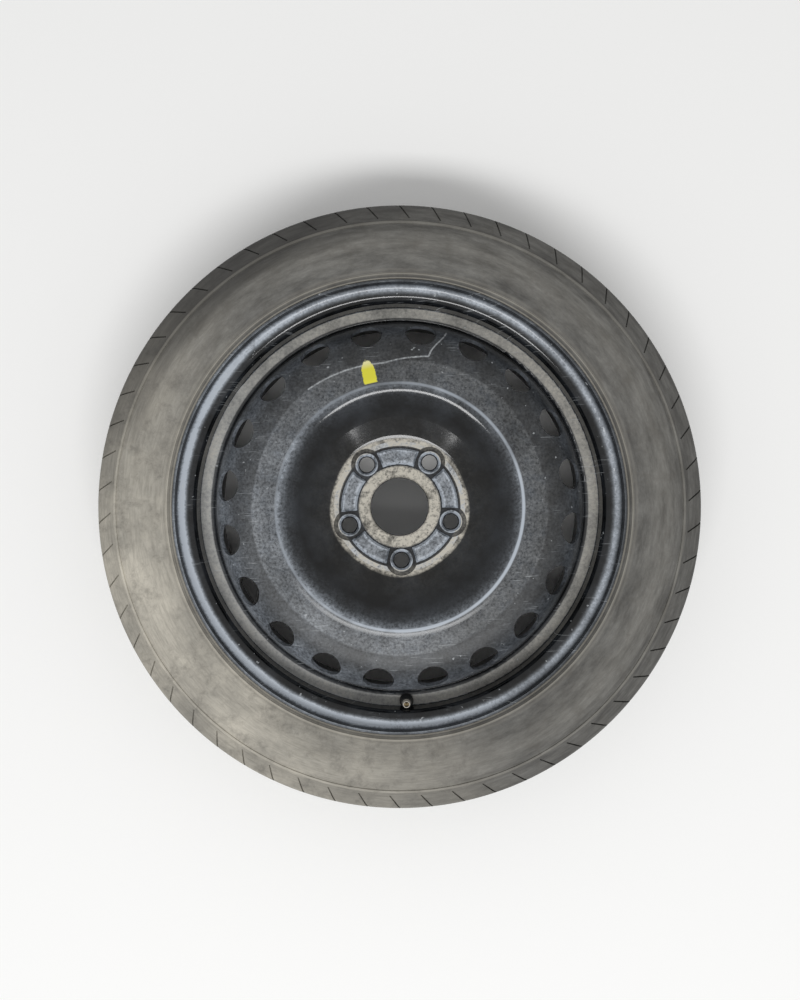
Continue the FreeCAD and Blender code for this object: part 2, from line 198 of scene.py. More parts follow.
def enamelMaterial(name, ringStops, isDisc):
    material, tree, shader = newMaterial(name)
    speckRange = enamel["discSpecks"] if isDisc else enamel["rimSpecks"]
    place = addNode(tree, "ShaderNodeTexCoord").outputs["Object"]
    facing = addNode(tree, "ShaderNodeNewGeometry").outputs["Normal"]
    axes = addNode(tree, "ShaderNodeSeparateXYZ", {0: place}).outputs
    flatPlace = addNode(tree, "ShaderNodeVectorMath", {0: place, 1: (1, 1, 0)}, operation="MULTIPLY").outputs[0]
    radius = addNode(tree, "ShaderNodeVectorMath", {0: flatPlace}, operation="LENGTH").outputs["Value"]
    ringRadius = radius
    if isDisc:
        # the pad's outer edge swells round each bolt
        turn = addNode(tree, "ShaderNodeMath", {0: axes["Y"], 1: axes["X"]}, operation="ARCTAN2").outputs[0]
        lobes = addNode(tree, "ShaderNodeMath", {0: turn, 1: float(hubPad["lobes"])},
                        operation="MULTIPLY").outputs[0]
        wave = addNode(tree, "ShaderNodeMath", {0: lobes}, operation="SINE").outputs[0]
        reach = addNode(tree, "ShaderNodeMapRange", {"Value": radius, "From Min": hubPad["lobeFrom"],
                                                     "From Max": hubPad["lobeTo"],
                                                     "To Max": hubPad["lobeDepth"]}).outputs[0]
        ringRadius = addNode(tree, "ShaderNodeMath", {0: wave, 1: reach, 2: radius},
                             operation="MULTIPLY_ADD").outputs[0]
    share = addNode(tree, "ShaderNodeMath", {0: ringRadius, 1: enamel["rampReach"]}, operation="DIVIDE").outputs[0]
    rings = addNode(tree, "ShaderNodeValToRGB", {"Fac": share},
                    stops=[(r / enamel["rampReach"], (dust, haze, dull, 1)) for r, dust, haze, dull in ringStops])
    ringShares = addNode(tree, "ShaderNodeSeparateColor", {0: rings.outputs["Color"]}).outputs

    patch = addNode(tree, "ShaderNodeTexNoise", {"Vector": place, "Scale": 1000 / enamel["patchMm"],
                                                 "Detail": 5.0, "Roughness": 0.62}).outputs["Fac"]
    speck = addNode(tree, "ShaderNodeTexNoise", {"Vector": place, "Scale": 1000 / enamel["speckMm"],
                                                 "Detail": 3.0, "Roughness": 0.7}).outputs["Fac"]
    patchGain = addNode(tree, "ShaderNodeMapRange", {"Value": patch, "From Min": 0.3, "From Max": 0.7,
                                                     "To Min": enamel["patchGain"][0],
                                                     "To Max": enamel["patchGain"][1]}).outputs[0]
    speckGain = addNode(tree, "ShaderNodeMapRange", {"Value": speck, "From Min": 0.3, "From Max": 0.7,
                                                     "To Min": speckRange[0], "To Max": speckRange[1]}).outputs[0]
    up = addNode(tree, "ShaderNodeSeparateXYZ", {0: facing}).outputs["Z"]
    level = addNode(tree, "ShaderNodeMapRange", {"Value": up, "From Min": enamel["levelFacing"][0],
                                                 "From Max": enamel["levelFacing"][1]}).outputs[0]
    upward = addNode(tree, "ShaderNodeMapRange", {"Value": up, "From Min": enamel["hazeFacing"][0],
                                                  "From Max": enamel["hazeFacing"][1]}).outputs[0]
    if isDisc:
        # the shoulder with the vents gets haze on its steep face too, painted light on a face that the lamp leaves in
        # shade
        onShoulder = addNode(tree, "ShaderNodeMapRange", {"Value": radius, "From Min": shoulder["from"],
                                                          "From Max": shoulder["to"]}).outputs[0]
        steep = addNode(tree, "ShaderNodeMapRange", {"Value": up, "From Min": shoulder["facing"][0],
                                                     "From Max": shoulder["facing"][1]}).outputs[0]
        steep = addNode(tree, "ShaderNodeMath", {0: steep, 1: onShoulder}, operation="MULTIPLY").outputs[0]
        upward = addNode(tree, "ShaderNodeMath", {0: upward, 1: steep}, operation="MAXIMUM").outputs[0]
    # painted reflection: the haze grows towards one side of the wheel, standing in for a soft sky reflection there
    side = addNode(tree, "ShaderNodeVectorMath", {0: flatPlace, 1: heading(enamel["reflectionAngle"])},
                   operation="DOT_PRODUCT").outputs["Value"]
    sideGain = addNode(tree, "ShaderNodeMapRange", {"Value": side, "From Min": enamel["reflectionReach"][0],
                                                    "From Max": enamel["reflectionReach"][1],
                                                    "To Min": enamel["reflectionGain"][0],
                                                    "To Max": enamel["reflectionGain"][1]}).outputs[0]

    # dust lies on level faces
    dusty = addNode(tree, "ShaderNodeMath", {0: ringShares["Red"], 1: level}, operation="MULTIPLY").outputs[0]
    dusty = addNode(tree, "ShaderNodeMath", {0: dusty, 1: patchGain}, operation="MULTIPLY").outputs[0]
    # the haze on upward faces is partly chalky weathering and partly painted sky reflection
    hazeAndReflectionShare = addNode(tree, "ShaderNodeMath", {0: ringShares["Green"], 1: upward}, operation="MULTIPLY").outputs[0]
    hazeAndReflectionShare = addNode(tree, "ShaderNodeMath", {0: hazeAndReflectionShare, 1: sideGain}, operation="MULTIPLY").outputs[0]
    hazeAndReflectionShare = addNode(tree, "ShaderNodeMath", {0: hazeAndReflectionShare, 1: patchGain}, operation="MULTIPLY").outputs[0]
    if isDisc:
        # none in the channel; the raised arcs and collars are clean of dust and get a painted bluish sheen standing in
        # for sky reflection
        abovePad = addNode(tree, "ShaderNodeMapRange", {"Value": axes["Z"], "From Min": hubPad["floorZ"],
                                                        "From Max": hubPad["padZ"],
                                                        "To Min": hubPad["channelDust"]}).outputs[0]
        dusty = addNode(tree, "ShaderNodeMath", {0: dusty, 1: abovePad}, operation="MULTIPLY").outputs[0]
        inner = addNode(tree, "ShaderNodeMath", {0: radius, 1: hubPad["raisedFrom"]},
                        operation="GREATER_THAN").outputs[0]
        outer = addNode(tree, "ShaderNodeMath", {0: radius, 1: hubPad["raisedTo"]}, operation="LESS_THAN").outputs[0]
        inPad = addNode(tree, "ShaderNodeMath", {0: inner, 1: outer}, operation="MULTIPLY").outputs[0]
        # the dust is rubbed off in places
        wear = addNode(tree, "ShaderNodeTexNoise", {"Vector": place, "Scale": 1000 / hubPad["wearMm"], "Detail": 4.0,
                                                    "Roughness": 0.65}).outputs["Fac"]
        wearGain = addNode(tree, "ShaderNodeMapRange", {"Value": wear, "From Min": 0.36, "From Max": 0.5,
                                                        "To Min": hubPad["wornDust"], "To Max": 1.0}).outputs[0]
        dusty = addNode(tree, "ShaderNodeMath", {0: dusty, 1: wearGain}, operation="MULTIPLY").outputs[0]
        raised = addNode(tree, "ShaderNodeMapRange", {"Value": axes["Z"], "From Min": hubPad["raisedZ"],
                                                      "From Max": hubPad["raisedTopZ"],
                                                      "To Max": hubPad["sheen"]}).outputs[0]
        raised = addNode(tree, "ShaderNodeMath", {0: raised, 1: inPad}, operation="MULTIPLY").outputs[0]
        offMiddle = addNode(tree, "ShaderNodeMath", {0: radius, 1: hubPad["arcMiddle"]},
                            operation="SUBTRACT").outputs[0]
        offMiddle = addNode(tree, "ShaderNodeMath", {0: offMiddle}, operation="ABSOLUTE").outputs[0]
        # painted highlight: the arcs' sheen is brighter towards their edges, where the walls would catch the lamp
        arcEdgeHighlight = addNode(tree, "ShaderNodeMapRange", {"Value": offMiddle, "From Min": hubPad["arcEdge"][0],
                                                      "From Max": hubPad["arcEdge"][1], "To Min": hubPad["arcHighlightGain"][0],
                                                      "To Max": hubPad["arcHighlightGain"][1]}).outputs[0]
        raised = addNode(tree, "ShaderNodeMath", {0: raised, 1: arcEdgeHighlight}, operation="MULTIPLY").outputs[0]
        raised = addNode(tree, "ShaderNodeMath", {0: raised, 1: patchGain}, operation="MULTIPLY").outputs[0]
        hazeAndReflectionShare = addNode(tree, "ShaderNodeMath", {0: hazeAndReflectionShare, 1: raised}, operation="MAXIMUM").outputs[0]
    dusty = addNode(tree, "ShaderNodeMath", {0: dusty, 1: speckGain}, operation="MULTIPLY", use_clamp=True).outputs[0]
    hazeAndReflectionShare = addNode(tree, "ShaderNodeMath", {0: hazeAndReflectionShare, 1: speckGain}, operation="MULTIPLY", use_clamp=True).outputs[0]
    if isDisc:
        # painted highlight: a pale line along the crown's inner bend, stronger towards one side, standing in for the
        # lamp's reflection
        offCrown = addNode(tree, "ShaderNodeMath", {0: radius, 1: crownHighlight["radius"]}, operation="SUBTRACT").outputs[0]
        offCrown = addNode(tree, "ShaderNodeMath", {0: offCrown}, operation="ABSOLUTE").outputs[0]
        crownHighlightMask = addNode(tree, "ShaderNodeMapRange", {"Value": offCrown, "From Min": crownHighlight["halfWidth"],
                                                          "From Max": crownHighlight["fade"], "To Min": crownHighlight["haze"],
                                                          "To Max": 0.0}).outputs[0]
        highlightSide = addNode(tree, "ShaderNodeVectorMath", {0: flatPlace, 1: heading(crownHighlight["brightAngle"])},
                           operation="DOT_PRODUCT").outputs["Value"]
        highlightGain = addNode(tree, "ShaderNodeMapRange", {"Value": highlightSide, "From Min": crownHighlight["brightReach"][0],
                                                        "From Max": crownHighlight["brightReach"][1],
                                                        "To Min": crownHighlight["brightGain"][0],
                                                        "To Max": crownHighlight["brightGain"][1]}).outputs[0]
        crownHighlightMask = addNode(tree, "ShaderNodeMath", {0: crownHighlightMask, 1: highlightGain}, operation="MULTIPLY").outputs[0]
        crownHighlightMask = addNode(tree, "ShaderNodeMath", {0: crownHighlightMask, 1: patchGain}, operation="MULTIPLY",
                             use_clamp=True).outputs[0]
        hazeAndReflectionShare = addNode(tree, "ShaderNodeMath", {0: hazeAndReflectionShare, 1: crownHighlightMask}, operation="MAXIMUM").outputs[0]

    # knocks: straight scratches in patches, in two directions, and small chips
    worn = addNode(tree, "ShaderNodeMapRange", {"Value": patch, "From Min": 0.47, "From Max": 0.57}).outputs[0]
    across, along = enamel["scratchMm"]
    scratches = []
    for lean in enamel["scratchAngles"]:
        grid = addNode(tree, "ShaderNodeMapping", {"Vector": place, "Rotation": (0, 0, math.radians(lean)),
                                                   "Scale": (1000 / along, 1000 / across, 0)}).outputs[0]
        streak = addNode(tree, "ShaderNodeTexNoise", {"Vector": grid, "Scale": 1.0, "Detail": 1.0}).outputs["Fac"]
        scratches.append(addNode(tree, "ShaderNodeMapRange", {"Value": streak, "From Min": 0.69,
                                                              "From Max": 0.73}).outputs[0])
    lines = addNode(tree, "ShaderNodeMath", {0: scratches[0], 1: scratches[1]}, operation="MAXIMUM").outputs[0]
    lines = addNode(tree, "ShaderNodeMath", {0: lines, 1: worn}, operation="MULTIPLY").outputs[0]
    onFace = addNode(tree, "ShaderNodeMapRange", {"Value": radius, "From Min": enamel["knockFrom"][0],
                                                  "From Max": enamel["knockFrom"][1]}).outputs[0]
    chip = addNode(tree, "ShaderNodeTexNoise", {"Vector": place, "Scale": 1000 / enamel["chipMm"],
                                                "Detail": 2.0}).outputs["Fac"]
    chip = addNode(tree, "ShaderNodeMapRange", {"Value": chip, "From Min": 0.72, "From Max": 0.75}).outputs[0]
    knocks = addNode(tree, "ShaderNodeMath", {0: lines, 1: chip}, operation="MAXIMUM").outputs[0]
    knocks = addNode(tree, "ShaderNodeMath", {0: knocks, 1: onFace}, operation="MULTIPLY").outputs[0]
    if isDisc:
        # one long scratch: round the valley, then out between two vents
        start, bend, end = [math.radians(a) for a in longScratch["angles"]]
        startRadius, lowRadius, bendRadius, endRadius = longScratch["radii"]
        legs = []
        lowTurn = longScratch["lowTurn"]
        for low, high, fromRadius, toRadius in ((start, lowTurn, startRadius, lowRadius),
                                                (lowTurn, bend, lowRadius, bendRadius)):
            path = addNode(tree, "ShaderNodeMapRange", {"Value": turn, "From Min": low, "From Max": high,
                                                        "To Min": fromRadius, "To Max": toRadius}).outputs[0]
            away = addNode(tree, "ShaderNodeMath", {0: radius, 1: path}, operation="SUBTRACT").outputs[0]
            legs.append((away, turn, low, high))
        path = addNode(tree, "ShaderNodeMapRange", {"Value": radius, "From Min": bendRadius, "From Max": endRadius,
                                                    "To Min": bend, "To Max": end},
                       interpolation_type="SMOOTHSTEP").outputs[0]
        away = addNode(tree, "ShaderNodeMath", {0: turn, 1: path}, operation="SUBTRACT").outputs[0]
        away = addNode(tree, "ShaderNodeMath", {0: away, 1: radius}, operation="MULTIPLY").outputs[0]
        legs.append((away, radius, bendRadius, endRadius))
        mark = None
        for away, travel, low, high in legs:
            away = addNode(tree, "ShaderNodeMath", {0: away}, operation="ABSOLUTE").outputs[0]
            leg = addNode(tree, "ShaderNodeMapRange", {"Value": away, "From Min": longScratch["halfWidth"],
                                                       "From Max": longScratch["halfWidth"] * longScratch["softEdge"],
                                                       "To Min": 1.0, "To Max": 0.0}).outputs[0]
            middle = addNode(tree, "ShaderNodeMath", {0: travel, 1: (low + high) / 2, 2: abs(high - low) / 2},
                             operation="COMPARE").outputs[0]
            leg = addNode(tree, "ShaderNodeMath", {0: leg, 1: middle}, operation="MULTIPLY").outputs[0]
            mark = leg if mark is None else addNode(tree, "ShaderNodeMath", {0: mark, 1: leg},
                                                    operation="MAXIMUM").outputs[0]
        mark = addNode(tree, "ShaderNodeMath", {0: mark, 1: speckGain}, operation="MULTIPLY").outputs[0]
        knocks = addNode(tree, "ShaderNodeMath", {0: knocks, 1: mark}, operation="MAXIMUM").outputs[0]
    knocks = addNode(tree, "ShaderNodeMath", {0: knocks, 1: enamel["knockStrength"]}, operation="MULTIPLY",
                     use_clamp=True).outputs[0]

    bloom = addNode(tree, "ShaderNodeMapRange", {"Value": patch, "From Min": 0.42, "From Max": 0.66}).outputs[0]
    film = addNode(tree, "ShaderNodeMix", {"Factor": bloom, 6: hexColour(enamel["film"]),
                                           7: hexColour(enamel["filmDull"])}, data_type="RGBA").outputs[2]
    # the haze colour stands partly for chalk and partly for painted sky reflection
    colour = addNode(tree, "ShaderNodeMix", {"Factor": hazeAndReflectionShare, 6: film, 7: hexColour(enamel["haze"])},
                     data_type="RGBA").outputs[2]
    colour = addNode(tree, "ShaderNodeMix", {"Factor": dusty, 6: colour, 7: hexColour(enamel["dust"])},
                     data_type="RGBA").outputs[2]
    colour = addNode(tree, "ShaderNodeMix", {"Factor": knocks, 6: colour, 7: hexColour(enamel["scuff"])},
                     data_type="RGBA").outputs[2]
    matt = addNode(tree, "ShaderNodeMath", {0: hazeAndReflectionShare, 1: 0.3, 2: dusty}, operation="MULTIPLY_ADD").outputs[0]
    matt = addNode(tree, "ShaderNodeMath", {0: matt, 1: ringShares["Blue"]}, operation="ADD", use_clamp=True).outputs[0]
    if isDisc:
        # a brush stroke of marking paint: square where it starts, rounded and thinner where the brush left
        turned = addNode(tree, "ShaderNodeVectorRotate", {"Vector": flatPlace, "Axis": (0, 0, 1),
                                                          "Angle": -math.radians(paintDab["angle"])},
                         rotation_type="AXIS_ANGLE").outputs[0]
        centred = addNode(tree, "ShaderNodeVectorMath", {0: turned, 1: (paintDab["radius"], 0, 0)},
                          operation="SUBTRACT").outputs[0]
        scaled = addNode(tree, "ShaderNodeVectorMath", {0: centred, 1: (1 / paintDab["halfLength"],
                                                                        1 / paintDab["halfWidth"], 0)},
                         operation="MULTIPLY").outputs[0]
        tongue = addNode(tree, "ShaderNodeVectorMath", {0: scaled, 1: (0, -9, 0)}, operation="MAXIMUM").outputs[0]
        spread = addNode(tree, "ShaderNodeVectorMath", {0: tongue}, operation="LENGTH").outputs["Value"]
        ragged = addNode(tree, "ShaderNodeMath", {0: speck, 1: paintDab["ragged"], 2: spread},
                         operation="MULTIPLY_ADD").outputs[0]
        dab = addNode(tree, "ShaderNodeMapRange", {"Value": ragged, "From Min": paintDab["edge"][0],
                                                   "From Max": paintDab["edge"][1], "To Min": 1.0,
                                                   "To Max": 0.0}).outputs[0]
        along = addNode(tree, "ShaderNodeSeparateXYZ", {0: scaled}).outputs["X"]
        squareEnd = addNode(tree, "ShaderNodeMapRange", {"Value": along, "From Min": paintDab["squareEnd"][0],
                                                         "From Max": paintDab["squareEnd"][1]}).outputs[0]
        dab = addNode(tree, "ShaderNodeMath", {0: dab, 1: squareEnd}, operation="MULTIPLY").outputs[0]
        thin = addNode(tree, "ShaderNodeMapRange", {"Value": along, "From Min": paintDab["thinFrom"][0],
                                                    "From Max": paintDab["thinFrom"][1]}).outputs[0]
        paint = addNode(tree, "ShaderNodeMix", {"Factor": thin, 6: hexColour(paintDab["colour"]),
                                                7: hexColour(paintDab["thin"])}, data_type="RGBA").outputs[2]
        colour = addNode(tree, "ShaderNodeMix", {"Factor": dab, 6: colour, 7: paint}, data_type="RGBA").outputs[2]
        matt = addNode(tree, "ShaderNodeMath", {0: matt, 1: dab}, operation="MAXIMUM").outputs[0]
    rough = addNode(tree, "ShaderNodeMapRange", {"Value": matt, "To Min": enamel["filmRough"],
                                                 "To Max": enamel["chalkRough"]}).outputs[0]
    peel = addNode(tree, "ShaderNodeTexNoise", {"Vector": place, "Scale": 1000 / enamel["peelMm"],
                                                "Detail": 1.0}).outputs["Fac"]
    bump = addNode(tree, "ShaderNodeBump", {"Strength": enamel["peelStrength"],
                                             "Distance": enamel["peelDepth"], "Height": peel}).outputs[0]
    tree.links.new(colour, shader.inputs["Base Color"])
    tree.links.new(rough, shader.inputs["Roughness"])
    tree.links.new(bump, shader.inputs["Normal"])
    shader.inputs["IOR"].default_value = enamel["ior"]
    return material


dress("disc", enamelMaterial("black enamel on disc", discRings, True))
rimEnamel = enamelMaterial("black enamel on rim", rimRings, False)
dress("rim", rimEnamel)
dress("disc_welds", rimEnamel)
print("enamel done")

# Moulded rubber: matt dark grey from the mould, chalky with road dust, beige where the dust lies thick, and darker on
# one part of the outer side as painted shade.
tyreLook = {
    "rubber": "#3f3e3c",
    "pale": "#7c7b77",
    "dust": "#cdc7b9",
    "dark": "#2b2a29",
    "grime": "#4f4c47",
    "patchMm": 60.0,
    "smearMm": (9.0, 42.0),    # across and along the circle
    "sideMm": 258,    # radius at which the smears have that length
    "stainMm": 17.0,
    "streakFinesse": (2.0, 2.0, 4.2),    # fine streaks against the smears: along the circle twice, then across
    "grainMm": 1.6,
    "dustAngle": -150.0,    # where the dust lies thickest, degrees from +X
    "dustReach": (0.03, 0.26),    # metres towards that side
    "shadeAngle": 127.0,    # where the outer side is darkened as painted shade
    "shadeReach": (0.20, 0.27),
    "shadeShare": 0.6,
    "shadeRadius": (0.252, 0.262),
    "roughness": (0.62, 0.9),
    "grainStrength": 0.25,
    "grainDepth": 0.0004,
    "rampReach": 0.3,
}
# radius in metres, darkening, paling: bead edge, fine bead lines, side, mould rib, shoulder
tyreRings = [
    (0.2190, 0.50, 0.0), (0.2203, 0.10, 0.40), (0.2216, 0.10, 0.40), (0.2226, 0.50, 0.0), (0.2240, 0.30, 0.04),
    (0.2250, 0.05, 0.24), (0.2264, 0.05, 0.18),
    (0.2276, 0.35, 0.0), (0.2290, 0.10, 0.10), (0.2310, 0.05, 0.0), (0.2560, 0.0, 0.06), (0.2735, 0.08, 0.0),
    (0.2746, 0.02, 0.10), (0.2768, 0.02, 0.10), (0.2778, 0.28, 0.0), (0.2880, 0.24, 0.0), (0.2962, 0.30, 0.0),
    (0.2973, 0.62, 0.0),
]


def tyreMaterial():
    material, tree, shader = newMaterial("dusty moulded rubber")
    place = addNode(tree, "ShaderNodeTexCoord").outputs["Object"]
    flatPlace = addNode(tree, "ShaderNodeVectorMath", {0: place, 1: (1, 1, 0)}, operation="MULTIPLY").outputs[0]
    radius = addNode(tree, "ShaderNodeVectorMath", {0: flatPlace}, operation="LENGTH").outputs["Value"]
    share = addNode(tree, "ShaderNodeMath", {0: radius, 1: tyreLook["rampReach"]}, operation="DIVIDE").outputs[0]
    rings = addNode(tree, "ShaderNodeValToRGB", {"Fac": share},
                    stops=[(r / tyreLook["rampReach"], (dark, pale, 0, 1)) for r, dark, pale in tyreRings])
    ringShares = addNode(tree, "ShaderNodeSeparateColor", {0: rings.outputs["Color"]}).outputs
    sides = []
    for angle in (tyreLook["dustAngle"], tyreLook["shadeAngle"]):
        sides.append(addNode(tree, "ShaderNodeVectorMath", {0: flatPlace, 1: heading(angle)},
                             operation="DOT_PRODUCT").outputs["Value"])
    patch = addNode(tree, "ShaderNodeTexNoise", {"Vector": place, "Scale": 1000 / tyreLook["patchMm"],
                                                 "Detail": 5.0, "Roughness": 0.6}).outputs["Fac"]
    # smears run round the tyre: long along the circle, short across it
    across, along = tyreLook["smearMm"]
    outward = addNode(tree, "ShaderNodeVectorMath", {0: flatPlace}, operation="NORMALIZE").outputs[0]
    circle = addNode(tree, "ShaderNodeVectorMath", {0: outward, "Scale": tyreLook["sideMm"] / along},
                     operation="SCALE").outputs[0]
    level = addNode(tree, "ShaderNodeSeparateXYZ", {0: place}).outputs["Z"]
    # out over the side, then down the tread
    run = addNode(tree, "ShaderNodeMath", {0: radius, 1: level}, operation="SUBTRACT").outputs[0]
    height = addNode(tree, "ShaderNodeMath", {0: run, 1: 1000 / across}, operation="MULTIPLY").outputs[0]
    lift = addNode(tree, "ShaderNodeCombineXYZ", {"Z": height}).outputs[0]
    wound = addNode(tree, "ShaderNodeVectorMath", {0: circle, 1: lift}, operation="ADD").outputs[0]
    smear = addNode(tree, "ShaderNodeTexNoise", {"Vector": wound, "Scale": 1.0, "Detail": 6.0,
                                                 "Roughness": 0.72}).outputs["Fac"]
    finer = addNode(tree, "ShaderNodeVectorMath", {0: wound, 1: tyreLook["streakFinesse"]},
                    operation="MULTIPLY").outputs[0]
    streak = addNode(tree, "ShaderNodeTexNoise", {"Vector": finer, "Scale": 1.0, "Detail": 5.0,
                                                  "Roughness": 0.75}).outputs["Fac"]
    streakGain = addNode(tree, "ShaderNodeMapRange", {"Value": streak, "From Min": 0.44, "From Max": 0.70,
                                                      "To Max": 0.42}).outputs[0]
    stain = addNode(tree, "ShaderNodeTexNoise", {"Vector": place, "Scale": 1000 / tyreLook["stainMm"], "Detail": 6.0,
                                                 "Roughness": 0.74}).outputs["Fac"]
    stainGain = addNode(tree, "ShaderNodeMapRange", {"Value": stain, "From Min": 0.47, "From Max": 0.68,
                                                     "To Max": 0.55}).outputs[0]
    streakGain = addNode(tree, "ShaderNodeMath", {0: streakGain, 1: stainGain}, operation="MAXIMUM").outputs[0]
    grain = addNode(tree, "ShaderNodeTexNoise", {"Vector": place, "Scale": 1000 / tyreLook["grainMm"],
                                                 "Detail": 2.0}).outputs["Fac"]
    sideGain = addNode(tree, "ShaderNodeMapRange", {"Value": sides[0], "From Min": tyreLook["dustReach"][0],
                                                   "From Max": tyreLook["dustReach"][1]}).outputs[0]
    # painted shade: the outer side darkens towards one side of the tyre
    paintedShade = addNode(tree, "ShaderNodeMapRange", {"Value": sides[1], "From Min": tyreLook["shadeReach"][0],
                                                 "From Max": tyreLook["shadeReach"][1],
                                                 "To Max": tyreLook["shadeShare"]}).outputs[0]
    spread = addNode(tree, "ShaderNodeMapRange", {"Value": patch, "From Min": 0.3, "From Max": 0.7,
                                                  "To Min": 0.35, "To Max": 1.0}).outputs[0]
    dusty = addNode(tree, "ShaderNodeMath", {0: sideGain, 1: spread}, operation="MULTIPLY", use_clamp=True).outputs[0]
    outer = addNode(tree, "ShaderNodeMapRange", {"Value": radius, "From Min": tyreLook["shadeRadius"][0],
                                                "From Max": tyreLook["shadeRadius"][1]}).outputs[0]
    paintedShade = addNode(tree, "ShaderNodeMath", {0: paintedShade, 1: outer}, operation="MULTIPLY").outputs[0]
    mottle = addNode(tree, "ShaderNodeMapRange", {"Value": smear, "From Min": 0.3, "From Max": 0.7}).outputs[0]
    tone = addNode(tree, "ShaderNodeMix", {"Factor": mottle, 6: hexColour(tyreLook["rubber"]),
                                           7: hexColour(tyreLook["pale"])}, data_type="RGBA").outputs[2]
    tone = addNode(tree, "ShaderNodeMix", {"Factor": dusty, 6: tone, 7: hexColour(tyreLook["dust"])},
                   data_type="RGBA").outputs[2]
    tone = addNode(tree, "ShaderNodeMix", {"Factor": streakGain, 6: tone, 7: hexColour(tyreLook["grime"])},
                   data_type="RGBA").outputs[2]
    tone = addNode(tree, "ShaderNodeMix", {"Factor": paintedShade, 6: tone, 7: hexColour(tyreLook["dark"])},
                   data_type="RGBA").outputs[2]
    tone = addNode(tree, "ShaderNodeMix", {"Factor": ringShares["Red"], 6: tone, 7: hexColour(tyreLook["dark"])},
                   data_type="RGBA").outputs[2]
    colour = addNode(tree, "ShaderNodeMix", {"Factor": ringShares["Green"], 6: tone, 7: hexColour(tyreLook["dust"])},
                     data_type="RGBA").outputs[2]
    rough = addNode(tree, "ShaderNodeMapRange", {"Value": smear, "To Min": tyreLook["roughness"][0],
                                                "To Max": tyreLook["roughness"][1]}).outputs[0]
    bump = addNode(tree, "ShaderNodeBump", {"Strength": tyreLook["grainStrength"],
                                             "Distance": tyreLook["grainDepth"], "Height": grain}).outputs[0]
    tree.links.new(colour, shader.inputs["Base Color"])
    tree.links.new(rough, shader.inputs["Roughness"])
    tree.links.new(bump, shader.inputs["Normal"])
    return material


dress("tyre", tyreMaterial())
print("tyre done")

# Valve: smooth black rubber, dull nickel-plated brass outside, bare turned brass inside, white seal plastic
# and drawn spring wire; each is a little smeared from handling.
valveLook = {
    "valve_body": ("valve rubber", "#1c1c1b", 0.0, 0.55),
    "core_gasket": ("gasket rubber", "#1c1c1b", 0.0, 0.6),
    "valve_stem": ("plated brass stem", "#a39f97", 1.0, 0.45),
    "core_housing": ("turned brass", "#6f624a", 1.0, 0.5),
    "core_pin": ("turned brass pin", "#7d7257", 1.0, 0.45),
    "core_cup": ("turned brass cup", "#c2a766", 1.0, 0.35),
    "core_seal": ("white seal plastic", "#e4e0d6", 0.0, 0.5),
    "core_spring": ("drawn spring wire", "#a9abae", 1.0, 0.3),
}
valveSmear = {"sizeMm": 1.5, "dulling": 0.7, "roughSpread": 0.1}
valveMaterials = {}
for nodeName, (name, code, metal, rough) in valveLook.items():
    material, tree, shader = newMaterial(name)
    place = addNode(tree, "ShaderNodeTexCoord").outputs["Object"]
    smear = addNode(tree, "ShaderNodeTexNoise", {"Vector": place, "Scale": 1000 / valveSmear["sizeMm"],
                                                 "Detail": 3.0}).outputs["Fac"]
    shade = hexColour(code)
    dull = tuple(c * valveSmear["dulling"] for c in shade[:3]) + (1.0,)
    colour = addNode(tree, "ShaderNodeMix", {"Factor": smear, 6: dull, 7: shade}, data_type="RGBA").outputs[2]
    spread = addNode(tree, "ShaderNodeMapRange", {"Value": smear, "To Min": rough - valveSmear["roughSpread"],
                                                  "To Max": rough + valveSmear["roughSpread"]}).outputs[0]
    tree.links.new(colour, shader.inputs["Base Color"])
    tree.links.new(spread, shader.inputs["Roughness"])
    shader.inputs["Metallic"].default_value = metal
    valveMaterials[nodeName] = material
    dress(nodeName, material)
print("valve done")

# Stem with its rolled thread: a turned tube, and a ridge wound round it
stem = {"y": -0.1938, "footLow": -0.0130, "footHigh": -0.0110, "foot": 0.0042, "shank": 0.00325,
        "threadLow": 0.00065, "top": 0.0090, "root": 0.0034, "crest": 0.00385, "bore": 0.00265, "chamber": 0.0023,
        "air": 0.0015, "chamfer": 0.0002, "boreEnd": 0.0026, "chamberTop": 0.0018, "chamberEnd": -0.0090,
        "airTop": -0.0096, "pitch": 0.0008, "turns": 8, "steps": 40, "ridgeLift": 0.0006, "ridgeSink": 0.0001}
stemAxis = Vector((0, stem["y"], 0))
stemMesh = bmesh.new()
section = [(stem["air"], stem["footLow"]), (stem["foot"], stem["footLow"]), (stem["foot"], stem["footHigh"]),
           (stem["shank"], stem["footHigh"]), (stem["shank"], stem["threadLow"]), (stem["root"], stem["threadLow"]),
           (stem["root"], stem["top"] - stem["chamfer"]), (stem["root"] - stem["chamfer"], stem["top"]),
           (stem["bore"], stem["top"]), (stem["bore"], stem["boreEnd"]), (stem["chamber"], stem["chamberTop"]),
           (stem["chamber"], stem["chamberEnd"]), (stem["air"], stem["airTop"])]
ring = [stemMesh.verts.new((r, stem["y"], z)) for r, z in section]
edges = [stemMesh.edges.new((ring[i - 1], ring[i])) for i in range(len(ring))]
bmesh.ops.spin(stemMesh, geom=ring + edges, cent=stemAxis, axis=(0, 0, 1), angle=2 * math.pi, steps=stem["steps"],
               use_merge=True)
ridgeStart = stem["threadLow"] + stem["ridgeLift"]
ridgeFoot = stem["root"] - stem["ridgeSink"]
ridge = [stemMesh.verts.new((r, stem["y"], ridgeStart + h * stem["pitch"]))
         for r, h in ((ridgeFoot, -0.45), (stem["crest"], -0.08), (stem["crest"], 0.08), (ridgeFoot, 0.45))]
ridgeFace = stemMesh.faces.new(ridge)
turnSteps = stem["turns"] * stem["steps"]
